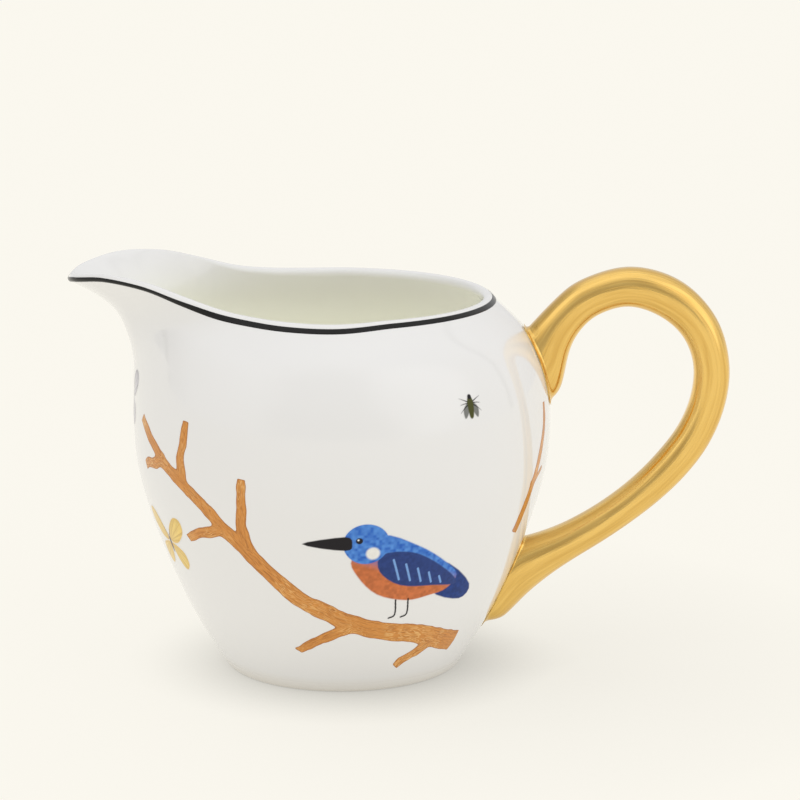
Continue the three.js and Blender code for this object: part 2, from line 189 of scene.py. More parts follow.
class Nodes:
    """Short calls for building a node tree."""

    def __init__(self, name=None, tree=None):
        if name:
            self.material = bpy.data.materials.new(name)
            self.material.use_nodes = True
            self.surface = self.material.node_tree.nodes["Principled BSDF"]
        self.tree = tree or self.material.node_tree

    def add(self, kind, **settings):
        node = self.tree.nodes.new("ShaderNode" + kind)
        for key, value in settings.items():
            setattr(node, key, value)
        return node

    def link(self, source, target):
        self.tree.links.new(source, target)
        return source

    def put(self, target, value):
        if hasattr(value, "is_output"):
            self.link(value, target)
        else:
            target.default_value = value

    def surface_set(self, **values):
        for key, value in values.items():
            self.put(self.surface.inputs[key.replace("_", " ")], value)

    def attribute(self, name, output="Fac"):
        return self.add("Attribute", attribute_name=name).outputs[output]

    def place(self):
        return self.add("TexCoord").outputs["Object"]

    def math(self, operation, a, b=0.0, c=0.0):
        node = self.add("Math", operation=operation)
        for socket, value in zip(node.inputs, (a, b, c)):
            self.put(socket, value)
        return node.outputs[0]

    def noise(self, scale, detail=2.0, roughness=0.5, vector=None, output="Fac"):
        node = self.add("TexNoise")
        self.put(node.inputs["Scale"], scale)
        self.put(node.inputs["Detail"], detail)
        self.put(node.inputs["Roughness"], roughness)
        self.link(vector if vector is not None else self.place(), node.inputs["Vector"])
        return node.outputs[output]

    def ramp(self, value, stops):
        """A value turned into a colour, or a grey level, by (position, colour or level) stops."""
        node = self.add("ValToRGB")
        band = node.color_ramp
        while len(band.elements) < len(stops):
            band.elements.new(0.5)
        for element, (position, tone) in zip(band.elements, stops):
            element.position = position
            element.color = (*tone, 1) if np.ndim(tone) else (tone, tone, tone, 1)
        self.link(value, node.inputs[0])
        return node.outputs[0]

    def mix(self, share, a, b, blend="MIX"):
        node = self.add("Mix", data_type="RGBA", blend_type=blend)
        self.put(node.inputs[0], share)
        self.put(node.inputs[6], (*a, 1) if isinstance(a, tuple) else a)
        self.put(node.inputs[7], (*b, 1) if isinstance(b, tuple) else b)
        return node.outputs[2]

    def bump(self, height, distance, strength=1.0):
        node = self.add("Bump")
        node.inputs["Distance"].default_value = distance
        node.inputs["Strength"].default_value = strength
        self.link(height, node.inputs["Height"])
        self.link(node.outputs[0], self.surface.inputs["Normal"])


GLAZE = dict(IOR=1.52, Coat_Weight=0.35, Coat_Roughness=0.03)


def tone(red, green, blue):
    """A colour given on the 0-255 screen scale, as a material holds it."""
    scale = (np.array([red, green, blue]) / 255 + 0.055) / 1.055
    return tuple(float(v) for v in scale ** 2.4)


# Painted light: the inside of the bowl glows a little, in place of the light bounced round it.
PAINTED_BOWL_GLOW = 0.15
# How far below the rim the painted bounce light inside the bowl, its yellowish tint and its glow, grows to
# full strength.
PAINTED_BOUNCE_DEPTH = 16.0


def porcelain_tone(n):
    return n.mix(n.noise(28, 3), (0.830, 0.822, 0.812), (0.850, 0.842, 0.833))


def porcelain_material(name="porcelain"):
    n = Nodes(name)
    inside = n.attribute("inside")
    height = n.add("SeparateXYZ")
    n.link(n.place(), height.inputs[0])
    # deeper inside the bowl the glaze turns yellowish: a painted tint of light bounced round the bowl
    colour = n.mix(inside, porcelain_tone(n), (0.830, 0.830, 0.735))
    bare = n.ramp(height.outputs[2], [(0.0, 1), (0.0002, 1), (0.0006, 0), (1, 0)])
    n.surface_set(
        Base_Color=n.mix(bare, colour, (0.80, 0.76, 0.69)),
        Roughness=n.ramp(bare, [(0, 0.07), (1, 0.55)]),
        # the inside's glow is painted light, growing with depth; no lamp is there
        Emission_Color=(0.92, 0.90, 0.78, 1),
        Emission_Strength=n.math("MULTIPLY", inside, PAINTED_BOWL_GLOW),
        **GLAZE,
    )
    n.bump(n.noise(70, 1.5), 0.00004, 0.5)
    return n.material


def gilding_material():
    n = Nodes("gilding")
    strokes = n.noise(1.0, 3, 0.65, n.attribute("brushed", "Vector"))
    n.surface_set(
        Base_Color=n.mix(n.ramp(strokes, [(0.36, 0), (0.64, 1)]), (0.74, 0.455, 0.115), (0.90, 0.595, 0.175)),
        Metallic=1.0,
        Roughness=n.ramp(n.noise(140, 4, 0.6), [(0.3, 0.15), (0.7, 0.21)]),
        Coat_Weight=0.15,
        Coat_Roughness=0.05,
    )
    n.bump(n.math("MULTIPLY_ADD", n.noise(180, 2), 0.2, strokes), 0.00008)
    return n.material


def enamel_material():
    n = Nodes("black_enamel")
    n.surface_set(
        Base_Color=n.mix(n.noise(400, 3), (0.004, 0.004, 0.004), (0.012, 0.011, 0.010)),
        Roughness=n.ramp(n.noise(300, 2), [(0.3, 0.15), (0.7, 0.28)]),
        Specular_IOR_Level=0.25,
    )
    return n.material


def bark_material():
    """Brown limbs with wavy pale grain, drawn along each limb, and a thin darker outline."""
    n = Nodes("bark_print")
    run, side, edge = n.attribute("along"), n.attribute("across"), n.attribute("edge")
    sway = n.math("MULTIPLY_ADD", n.noise(330, 2), 0.7, side)
    lines = []
    for along_scale, across_scale, offset in ((0.26, 1.15, 0.0), (0.13, 1.5, 40.0)):
        grain = n.add("CombineXYZ")
        n.put(grain.inputs[0], n.math("MULTIPLY", run, along_scale))
        n.put(grain.inputs[1], n.math("MULTIPLY_ADD", sway, across_scale, offset))
        contour = n.noise(1.0, 1.0, 0.4, grain.outputs[0])
        lines.append(n.ramp(n.math("PINGPONG", n.math("MULTIPLY", contour, 6.0), 0.5),
                            [(0.0, 1.0), (0.10, 0.8), (0.24, 0.0)]))
    fine = n.add("CombineXYZ")
    n.put(fine.inputs[0], n.math("MULTIPLY", run, 0.9))
    n.put(fine.inputs[1], n.math("MULTIPLY", sway, 4.0))
    streaks = n.noise(1.0, 3, 0.6, fine.outputs[0])
    pale = n.math("MULTIPLY", lines[0], n.ramp(n.noise(110, 2), [(0.42, 0.10), (0.62, 0.85)]))
    dark = n.math("MULTIPLY", lines[1], n.ramp(n.noise(150, 2), [(0.35, 0.35), (0.65, 0.90)]))
    base = n.mix(n.ramp(streaks, [(0.30, 0), (0.70, 1)]), BARK_DARK, BARK_MIDDLE)
    base = n.mix(dark, base, BARK_LINE)
    base = n.mix(pale, base, BARK_LIGHT)
    rim = n.ramp(edge, [(0.0, 0.85), (0.12, 0.55), (0.30, 0.0)])
    n.surface_set(Base_Color=n.mix(rim, base, BARK_EDGE), Roughness=0.14, **PRINT_GLOSS)
    n.bump(pale, 0.00002, 0.4)
    return n.material


PRINT_GLOSS = dict(IOR=1.52, Specular_IOR_Level=0.25)
BARK_MIDDLE = tone(220, 152, 78)
BARK_DARK = tone(206, 134, 60)
BARK_LINE = tone(166, 100, 44)
BARK_LIGHT = tone(240, 192, 122)
BARK_EDGE = tone(166, 104, 56)


def painted_material(name):
    """A print whose colours are painted on its own points; the white round them is the wall's."""
    n = Nodes(name)
    paint = n.add("Attribute", attribute_name="paint")
    grit = n.math("MULTIPLY_ADD", n.noise(1500, 2), 0.24, 0.88)
    colour = n.mix(1.0, paint.outputs["Color"], grit, "MULTIPLY")
    cover = paint.outputs["Alpha"]
    n.surface_set(
        Base_Color=n.mix(cover, porcelain_tone(n), colour),
        Roughness=0.07,
        IOR=GLAZE["IOR"],
        Coat_Roughness=GLAZE["Coat_Roughness"],
        Coat_Weight=n.ramp(cover, [(0, GLAZE["Coat_Weight"]), (0.5, 0.0)]),
        Specular_IOR_Level=n.ramp(cover, [(0, 0.5), (0.6, 0.18)]),
    )
    return n.material


# ---------- jug body ----------

BODY_SIDES = 300
GRID_CROWDING = 28


def grid_angles(sides):
    even = np.arange(sides) * 360 / sides
    return even + GRID_CROWDING * np.sin(np.radians(even))


def flat_ring(theta, radius, z):
    t = np.radians(theta)
    return np.stack([radius * np.cos(t), radius * np.sin(t), z + 0 * t], -1)


def body_rings(theta):
    """Rings of the wall from the underside's middle, up the outside, over the rim and down to the floor."""
    top = rim_height(theta)
    # inside holds, for each ring, how much painted bounce tint and glow it takes
    rings, inside = [], []

    def add(ring, level=0.0):
        rings.append(ring)
        inside.append(level + 0 * theta)

    for r in (7, 14, 20.4):
        add(flat_ring(theta, r, RECESS_DEPTH))
    for turn in np.radians([0, 30, 60, 90]):
        add(flat_ring(theta, 21.2 + 0.8 * math.sin(turn), RECESS_DEPTH - 0.8 * (1 - math.cos(turn))))
    for turn in np.radians([0, 30, 60, 90]):
        add(flat_ring(theta, FOOT_INNER - 0.5 * math.cos(turn), 0.5 * (1 - math.sin(turn))))
    add(flat_ring(theta, (FOOT_INNER + FOOT_OUTER) / 2, 0.0))
    edge = wall_point(theta, FOOT_EDGE + 0 * theta)
    ground = flat_ring(theta, FOOT_OUTER - 0.3, 0.0)
    corner = flat_ring(theta, FOOT_OUTER + 0.75, 0.0)
    for s in np.linspace(0, 1, 8)[:-1]:
        add((1 - s) ** 2 * ground + 2 * s * (1 - s) * corner + s * s * edge)
    for s in 1 - (1 - np.linspace(0, 1, 110)) ** 1.2:
        add(wall_point(theta, FOOT_EDGE + (top - FOOT_EDGE) * s))
    up, out = wall_frame(theta, top)
    thin = along(WALL_AT_RIM, from_handle(theta))
    half = thin[:, None] / 2
    for turn in np.radians(np.arange(12, 180, 12)):
        ring = wall_point(theta, top) - out * half * (1 - math.cos(turn)) + up * half * math.sin(turn)
        add(ring)
    start = 8.0
    for s in np.linspace(1, 0, 90) ** 0.85:
        thickness = WALL_AT_FOOT + (thin - WALL_AT_FOOT) * s
        z = start + (top - start) * s
        # inside the bowl the painted bounce tint and glow grow with depth below the rim
        add(off_wall(theta, z, -thickness), softstep((top - z) / PAINTED_BOUNCE_DEPTH))
    low = rings[-1]
    slope = unit(rings[-1] - rings[-2])
    corner = low + slope * ((FLOOR_HEIGHT - low[:, 2]) / slope[:, 2])[:, None]
    middle = corner * (0.7, 0.7, 1)
    for s in np.linspace(0, 1, 14)[1:]:
        add((1 - s) ** 2 * low + 2 * s * (1 - s) * corner + s * s * middle, 1.0)
    for share in (0.66, 0.33):
        add(middle * (share, share, 1), 1.0)
    return np.array(rings), np.array(inside)


def jug_body():
    rings, inside = body_rings(grid_angles(BODY_SIDES))
    points, faces = capped_rings(rings, (0, 0, RECESS_DEPTH), (0, 0, FLOOR_HEIGHT))
    # the "inside" level on each point carries the painted bounce tint and glow inside the bowl
    piece = mesh_piece(
        "glazed_body", points, faces, porcelain_material(), {"inside": np.append(inside.ravel(), (0.0, 1.0))}
    )
    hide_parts("jug_body")


# ---------- rim line ----------

LINE_WIDTH = 1.25
# How far below the rim's outer edge the line starts, by degrees from the handle; above 0 it climbs the lip.
LINE_CLIMB = [
    (0, -0.05), (60, -0.1), (85, -0.25), (110, -0.25), (128, 0.1), (142, 0.45), (155, 0.85), (180, 1.2),
]


def rim_skin(theta, climb, lift):
    """A point on the wall just below the rim, or climb millimetres over its rounded edge, lifted off it."""
    top = rim_height(theta)
    up, out = wall_frame(theta, top)
    half = along(WALL_AT_RIM, from_handle(theta))[..., None] / 2
    turn = np.clip(climb, 0, None) / half[..., 0]
    across, rise = np.cos(turn)[..., None], np.sin(turn)[..., None]
    edge = wall_point(theta, top) - out * half * (1 - across) + up * half * rise
    over = edge + (out * across + up * rise) * lift
    below = off_wall(theta, top + np.clip(climb, None, 0) * up[..., 2], lift + 0 * theta)
    return np.where(climb[..., None] > 0, over, below)


def rim_line():
    theta = grid_angles(480)
    section = [(0, -0.12), (0, 0.0), (0.04, 0.05), (0.2, 0.075), (0.4, 0.075), (0.6, 0.075), (0.8, 0.075),
               (0.96, 0.05), (1, 0.0), (1, -0.12)]
    start = along(LINE_CLIMB, from_handle(theta))
    rings = np.array([rim_skin(theta, start - LINE_WIDTH * share, lift) for share, lift in reversed(section)])
    piece = mesh_piece("enamel_rim_line", rings, grid_faces(len(rings), len(theta), True), enamel_material())
    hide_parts("rim_line")


# ---------- handle ----------

# Sections from the upper root to the lower root: the point on the outside of the loop (x, z), the point on
# its inside (x, z), and the width across the jug.
HANDLE_SECTIONS = [
    (35.0, 68.0, 42.0, 57.2, 10.4), (38.6, 72.6, 47.4, 60.0, 10.2), (41.0, 75.2, 48.7, 64.9, 9.6),
    (43.6, 78.1, 49.9, 70.8, 9.0), (47.0, 81.6, 52.6, 75.2, 8.8), (51.1, 85.0, 55.9, 77.9, 8.8),
    (62.5, 88.4, 62.4, 79.7, 8.9), (73.8, 85.3, 69.1, 77.6, 8.9), (81.7, 77.2, 74.4, 73.0, 8.6),
    (84.76, 67.1, 76.9, 66.5, 8.4), (84.0, 57.7, 76.4, 59.4, 8.4), (80.6, 48.9, 73.8, 52.8, 8.4),
    (75.7, 42.0, 69.7, 47.1, 8.4), (69.9, 36.2, 64.9, 41.9, 8.4), (63.8, 31.3, 59.5, 37.3, 8.4),
    (57.7, 27.0, 53.6, 33.3, 8.6), (51.7, 23.2, 47.3, 30.0, 9.0), (46.6, 19.7, 41.4, 27.9, 9.8),
    (41.4, 15.4, 36.8, 26.6, 10.6), (37.0, 10.8, 33.2, 22.0, 11.0), (34.6, 9.0, 30.6, 16.0, 10.6),
    (29.5, 8.6, 27.5, 12.6, 9.0),
]
HANDLE_SQUARENESS = 2.3
HANDLE_SIDES = 96
HANDLE_ROWS = 420


def handle_track():
    """The sections as smooth rows, evenly spaced along the handle's middle, and that spacing's places."""
    rows = np.array(HANDLE_SECTIONS)
    middle = (rows[:, 0:2] + rows[:, 2:4]) / 2
    places = np.append(0, np.cumsum(np.linalg.norm(np.diff(middle, axis=0), axis=1)))
    fine = np.arange(0, places[-1], HANDLE_STEP)
    track = np.stack([along(np.column_stack([places, rows[:, k]]), fine) for k in range(5)], -1)
    reach = int(3 * HANDLE_EASE / HANDLE_STEP)
    weight = np.exp(-0.5 * (np.arange(-reach, reach + 1) * HANDLE_STEP / HANDLE_EASE) ** 2)
    weight /= weight.sum()
    padded = np.pad(track, ((reach, reach), (0, 0)), mode="reflect", reflect_type="odd")
    eased = np.stack([np.convolve(padded[:, k], weight, "valid") for k in range(5)], -1)
    return places, fine, eased


HANDLE_STEP = 0.25
HANDLE_EASE = 1.8
HANDLE_PLACES, HANDLE_FINE, HANDLE_TRACK = handle_track()


def handle_point(place, turn):
    """A point on the handle's skin: place in millimetres along it, turn round it from the loop's outside."""
    outer_x, outer_z, inner_x, inner_z, width = (
        np.interp(place, HANDLE_FINE, HANDLE_TRACK[:, column]) for column in range(5)
    )
    across = np.sign(np.cos(turn)) * np.abs(np.cos(turn)) ** (2 / HANDLE_SQUARENESS)
    aside = np.sign(np.sin(turn)) * np.abs(np.sin(turn)) ** (2 / HANDLE_SQUARENESS)
    x = (outer_x + inner_x) / 2 + (outer_x - inner_x) / 2 * across
    z = (outer_z + inner_z) / 2 + (outer_z - inner_z) / 2 * across
    return np.stack([x, -width / 2 * aside, z], -1)


def outside_wall(points):
    """How far points near the handle stand out from the wall, measured level."""
    radius = np.hypot(points[..., 0], points[..., 1])
    theta = np.degrees(np.arctan2(points[..., 1], points[..., 0]))
    wall = wall_point(theta, np.clip(points[..., 2], 1, 81))
    return radius - np.hypot(wall[..., 0], wall[..., 1])


def landing(turn, start, way):
    """The place at which each line along the handle's skin meets the wall, searched from a free place."""
    places = np.clip(start + way * np.linspace(0, 60, 481), 0, HANDLE_FINE[-1])
    gap = outside_wall(handle_point(places[:, None], turn[None]))
    hit = np.argmax(gap < 0, axis=0)
    k = np.arange(len(turn))
    before, after = gap[hit - 1, k], gap[hit, k]
    return places[hit - 1] + (places[hit] - places[hit - 1]) * before / (before - after)


FLARE = 1.3


def flared(points, normals, reach):
    """Points near a landing spread out over the wall, in a quarter-round fillet."""
    near = np.clip(1 - reach / FLARE, 0, 1)
    spread = 1 - np.sqrt(np.clip(1 - near ** 2, 0, 1))
    return points + normals * (FLARE * spread)[..., None]


BRUSHED_ROD = 4.5
BRUSH_STROKES = 22.0


def handle_rings():
    even = 2 * math.pi * np.arange(HANDLE_SIDES) / HANDLE_SIDES
    turn = even - 0.12 * np.sin(4 * even)
    upper = landing(turn, HANDLE_PLACES[6], -1)
    lower = landing(turn, HANDLE_PLACES[15], 1)
    v = np.linspace(0, 1, HANDLE_ROWS)
    v = v - 0.11 * np.sin(2 * math.pi * v)
    place = upper[None] + (lower - upper)[None] * v[:, None]
    points = handle_point(place, turn[None])
    step = np.linalg.norm(np.diff(points, axis=0), axis=-1)
    length = np.vstack([np.zeros(HANDLE_SIDES), np.cumsum(step, 0)])
    normals = unit(points - points.mean(1, keepdims=True))
    for reach in (length, length[-1] - length):
        points = flared(points, normals, reach)
    # the gold's brush strokes run along the handle: they are drawn on it as on a straight rod
    rod = [BRUSHED_ROD * np.cos(turn), BRUSHED_ROD * np.sin(turn), length / BRUSH_STROKES, 1.0]
    return points, np.stack(np.broadcast_arrays(*rod), -1)


def handle():
    rings, rod = handle_rings()
    points, faces = capped_rings(rings, rings[0].mean(0) - (2, 0, 0), rings[-1].mean(0) - (2, 0, 0))
    brushed = np.vstack([rod.reshape(-1, 4), rod[0].mean(0), rod[-1].mean(0)])
    piece = mesh_piece("gilt_handle", points, faces, gilding_material(), {"brushed": brushed})
    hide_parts("handle", "upper_slip_joint", "lower_slip_joint")


# ---------- transfers fired onto the glaze ----------

# Places on the wall are now (degrees from the front towards the handle, height in millimetres).
FILM_BOTTOM = -0.02
BARK_LIFT = 0.02
PAINT_LIFT = 0.035


def mottle(x, y, size, seed):
    """Smooth noise between 0 and 1 with features about as big as size."""
    table = np.random.default_rng(seed).random((64, 64))
    u, v = x / size, y / size
    i, j = np.floor(u).astype(int), np.floor(v).astype(int)
    s, t = softstep(u - i), softstep(v - j)
    low = table[i % 64, j % 64] * (1 - s) + table[(i + 1) % 64, j % 64] * s
    high = table[i % 64, (j + 1) % 64] * (1 - s) + table[(i + 1) % 64, (j + 1) % 64] * s
    return low * (1 - t) + high * t


def curve(points, closed=False, per=4):
    """A smooth line through points."""
    p = np.asarray(points, float)
    if closed:
        p = np.vstack([p[-1:], p, p[:2]])
    else:
        p = np.vstack([2 * p[0] - p[1], p, 2 * p[-1] - p[-2]])
    a, b, c, d = (q[:, None] for q in (p[:-3], p[1:-2], p[2:-1], p[3:]))
    t = (np.arange(per) / per)[None, :, None]
    way = 2 * b + (c - a) * t + (2 * a - 5 * b + 4 * c - d) * t ** 2 + (3 * b - a - 3 * c + d) * t ** 3
    way = (way / 2).reshape(-1, p.shape[1])
    return way if closed else np.vstack([way, p[-2]])


def wall_scale(a, z):
    """Millimetres on the wall for one degree round it and for one millimetre of height."""
    round_ = np.linalg.norm(wall_point(a - 89.5, z) - wall_point(a - 90.5, z), axis=-1)
    rise = np.linalg.norm(wall_point(a - 90, z + 0.5) - wall_point(a - 90, z - 0.5), axis=-1)
    return round_, rise


def outline_gap(x, y, outline, scale=(1.0, 1.0)):
    """Signed distance to a closed outline in millimetres, below 0 inside it."""
    nearest = np.full(np.shape(x), np.inf)
    inside = np.zeros(np.shape(x), bool)
    for (ax, ay), (bx, by) in zip(outline, np.roll(outline, -1, 0)):
        px, py, ex, ey = (x - ax) * scale[0], (y - ay) * scale[1], (bx - ax) * scale[0], (by - ay) * scale[1]
        share = np.clip((px * ex + py * ey) / (ex * ex + ey * ey + 1e-9), 0, 1)
        nearest = np.minimum(nearest, np.hypot(px - share * ex, py - share * ey))
        if ay != by:
            inside ^= ((ay > y) != (by > y)) & (x < (y - ay) / (by - ay) * (bx - ax) + ax)
    return np.where(inside, -nearest, nearest)


def line_place(x, y, line, scale=(1.0, 1.0)):
    """How far along a line its nearest point lies, and how far off it, to one side or the other."""
    nearest = np.full(np.shape(x), np.inf)
    along_it, across_it, run = np.zeros(np.shape(x)), np.zeros(np.shape(x)), 0.0
    for (ax, ay), (bx, by) in zip(line[:-1], line[1:]):
        px, py, ex, ey = (x - ax) * scale[0], (y - ay) * scale[1], (bx - ax) * scale[0], (by - ay) * scale[1]
        length = np.sqrt(ex * ex + ey * ey) + 1e-9
        share = np.clip((px * ex + py * ey) / length ** 2, 0, 1)
        gap = np.hypot(px - share * ex, py - share * ey)
        closer = gap < nearest
        nearest = np.where(closer, gap, nearest)
        along_it = np.where(closer, run + share * length, along_it)
        across_it = np.where(closer, (ex * py - ey * px) / length, across_it)
        run = run + np.mean(length)
    return along_it, across_it


def film_mesh(x, y, field):
    """Triangles and quads covering a grid where field is below 0, cut off smoothly along its zero line."""
    rows, columns = field.shape
    index = np.arange(rows * columns).reshape(rows, columns)
    a, b, c, d = index[:-1, :-1], index[:-1, 1:], index[1:, 1:], index[1:, :-1]
    halves = [np.stack([a, b, c], -1), np.stack([a, c, d], -1)]
    triangles = np.concatenate([half.reshape(-1, 3) for half in halves])
    level, spots = field.ravel(), np.column_stack([x.ravel(), y.ravel()])
    inside = level < 0
    count = inside[triangles].sum(1)
    whole = triangles[count == 3]
    cuts = []
    for number, odd in ((1, True), (2, False)):
        cut = triangles[count == number]
        first = (inside[cut] == odd).argmax(1)
        cuts.append(cut[np.arange(len(cut))[:, None], (first[:, None] + np.arange(3)) % 3])
    pairs = np.concatenate([np.sort(cut[:, [0, k]], axis=1) for cut in cuts for k in (1, 2)])
    crossings, where = np.unique(pairs, axis=0, return_inverse=True)
    where = where.ravel() + rows * columns
    share = level[crossings[:, 0]] / (level[crossings[:, 0]] - level[crossings[:, 1]])
    middle = spots[crossings[:, 0]] + (spots[crossings[:, 1]] - spots[crossings[:, 0]]) * share[:, None]
    one, two = len(cuts[0]), len(cuts[1])
    p, q = where[:one], where[one:2 * one]
    r, s = where[2 * one:2 * one + two], where[2 * one + two:]
    tips = np.column_stack([cuts[0][:, 0], p, q])
    stumps = np.column_stack([r, cuts[1][:, 1], cuts[1][:, 2], s])
    border = np.concatenate([np.column_stack([p, q]), np.column_stack([s, r])])
    spots = np.vstack([spots, middle])
    used = np.unique(np.concatenate([whole.ravel(), tips.ravel(), stumps.ravel()]))
    renumber = np.full(len(spots), -1)
    renumber[used] = np.arange(len(used))
    faces = renumber[whole].tolist() + renumber[tips].tolist() + renumber[stumps].tolist()
    return spots[used], faces, renumber[border]


def film_piece(name, spots, faces, border, lift, material, attributes):
    """A thin closed skin on the wall, from places in (degrees, height)."""
    theta, z = spots[:, 0] - 90, spots[:, 1]
    count = len(spots)
    points = np.vstack([off_wall(theta, z, lift + 0 * z), off_wall(theta, z, FILM_BOTTOM + 0 * z)])
    under = [[v + count for v in reversed(face)] for face in faces]
    sides = [[q, p, p + count, q + count] for p, q in border.tolist()]
    both = {key: np.concatenate([values, values]) for key, values in attributes.items()}
    piece = mesh_piece(name, points, faces + under + sides, material, both)
    piece.data.set_sharp_from_angle(angle=math.radians(50))
    return piece


# ---------- branches ----------


def bent_limb(start, length, way, bend, sway, thick, thin, steps):
    """A limb that starts at a place on the wall and sways: rows of (degrees, height, half width)."""
    a, z = start
    rows = []
    for i in range(steps + 1):
        share = i / steps
        rows.append((a, z, thick + (thin - thick) * share))
        turn = math.radians(way + bend * share + sway * math.sin(3 * math.pi * share))
        a += math.cos(turn) * length / steps / math.radians(float(along(BOWL_PROFILE, z)))
        z += math.sin(turn) * length / steps
    return rows


# One stem climbs from low by the handle to high by the lip, and twigs leave it: (station, side, length).
STEM_WAY, STEM_BEND, STEM_STEPS = 158, -26, 14
STEM = bent_limb((50, 10), 95, STEM_WAY, STEM_BEND, 12, 2.8, 1.3, STEM_STEPS)
TWIGS = [(1, -1, 11), (4, -1, 15), (8, 1, 17), (9, -1, 13), (11, 1, 14), (12, -1, 10)]
TWIG_LEAN = {1: -50, -1: 52}
FRONT_LIMBS = [STEM] + [
    bent_limb(STEM[station][:2], length, STEM_WAY + STEM_BEND * station / STEM_STEPS + TWIG_LEAN[side],
              -14 * side, 5, 1.7, 1.0, 5)
    for station, side, length in TWIGS
]
UPPER_TWIG_LIMBS = [
    bent_limb((62, 34), 29, 66, 8, 6, 1.5, 0.9, 6),
    bent_limb((65.5, 44), 7, 20, 12, 0, 0.9, 0.5, 3),
]
# Limbs of the branch on the far side, as (degrees, height, half width) along their middles.
BACK_LIMBS = [
    [(112, 66, 0.8), (118, 58, 1.4), (126, 50, 1.9), (140, 41, 2.3), (154, 33, 2.5), (168, 24, 2.6),
     (176, 14, 2.6), (182, 8, 2.0)],
    [(128, 49, 1.5), (127, 59, 1.6), (131, 68, 1.9)],
    [(152, 34.5, 1.8), (156, 45, 1.8), (153, 56, 1.7), (157, 68, 2.0)],
    [(154, 52, 1.3), (163, 58, 1.4), (172, 60, 1.8)],
    [(166, 26, 2.0), (182, 28, 2.0), (198, 34, 1.9), (210, 44, 1.8), (214, 56, 1.7), (220, 68, 2.0)],
    [(208, 42, 1.5), (222, 42, 1.5), (236, 46, 1.8)],
    [(150, 35, 1.6), (140, 28, 1.5), (130, 25, 1.9)],
    [(176, 16, 1.8), (192, 15, 1.7), (208, 19, 1.9)],
]
BRANCH_GRID = 0.33
JOIN_EASE = 0.9
HAND_WOBBLE = 0.35
LIMB_TRIM = 0.07


def from_middle(limb):
    """Stations of a limb given by its middle line and half widths, a little lopsided as a drawn limb is."""
    a, z, half = np.array(limb, float).T
    across, rise = wall_scale(a, z)
    da, dz = np.gradient(a) * across, np.gradient(z) * rise
    length = np.hypot(da, dz)
    wave = 0.12 * np.sin(2.3 * np.arange(len(a)) + a[0])
    left, right = half * (1 + wave), half * (1 - wave)
    return np.stack([
        a - dz / length * left / across, z + da / length * left / rise,
        a + dz / length * right / across, z - da / length * right / rise,
    ], -1)


def branch(name, limbs, node):
    limbs = [np.asarray(limb, float) for limb in limbs]
    corners = np.vstack([limb.reshape(-1, 2) for limb in limbs])
    low, high = corners.min(0) - (2, 1), corners.max(0) + (2, 1)
    high[1] = min(high[1], 84.4)
    low[1] = max(low[1], 1.6)
    step = BRANCH_GRID / (BELLY_RADIUS * math.pi / 180)
    a, z = np.meshgrid(np.arange(low[0], high[0], step), np.arange(low[1], high[1], BRANCH_GRID))

    def measure(a, z):
        """Gap to the branch, and for the limb nearest each place how far along it and off its middle."""
        scale = wall_scale(a, z)
        field = np.full(a.shape, 9.0)
        closest, run, side = np.full(a.shape, 9.0), np.zeros(a.shape), np.zeros(a.shape)
        for number, limb in enumerate(limbs):
            left, right = curve(limb[:, :2]), curve(limb[:, 2:])
            outline = np.vstack([left, right[::-1]])
            near = abs(a - outline[:, 0].mean()) < np.ptp(outline[:, 0]) / 2 + 5
            near &= (z > outline[:, 1].min() - 3) & (z < outline[:, 1].max() + 3)
            at = a[near], z[near]
            local = scale[0][near], scale[1][near]
            gap = outline_gap(*at, outline, local)
            there, off = line_place(*at, (left + right)[::2] / 2, local)
            overlap = np.clip(1 - abs(field[near] - gap) / JOIN_EASE, 0, None)
            joined = np.minimum(field[near], gap) - overlap ** 2 * JOIN_EASE / 4
            closer = gap < closest[near]
            run[near] = np.where(closer, there + 31 * number, run[near])
            side[near] = np.where(closer, off + 17 * number, side[near])
            closest[near] = np.minimum(gap, closest[near])
            field[near] = joined
        return field + LIMB_TRIM + HAND_WOBBLE * (mottle(a * 0.8, z, 1.7, 5) - 0.5), run, side

    spots, faces, border = film_mesh(a, z, measure(a, z)[0])
    field, run, side = measure(spots[:, 0], spots[:, 1])
    grain_values = {"along": run, "across": side, "edge": np.clip(-field, 0, 5)}
    piece = film_piece(name, spots, faces, border, BARK_LIFT, BARK, grain_values)
    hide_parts(node)


def branches():
    branch("front_branch", [from_middle(limb) for limb in FRONT_LIMBS], "branch_transfer")
    branch("upper_twig", [from_middle(limb) for limb in UPPER_TWIG_LIMBS], "upper_twig_transfer")
    branch("back_branch", [from_middle(limb) for limb in BACK_LIMBS], "back_branch_transfer")


# ---------- bird and insects ----------


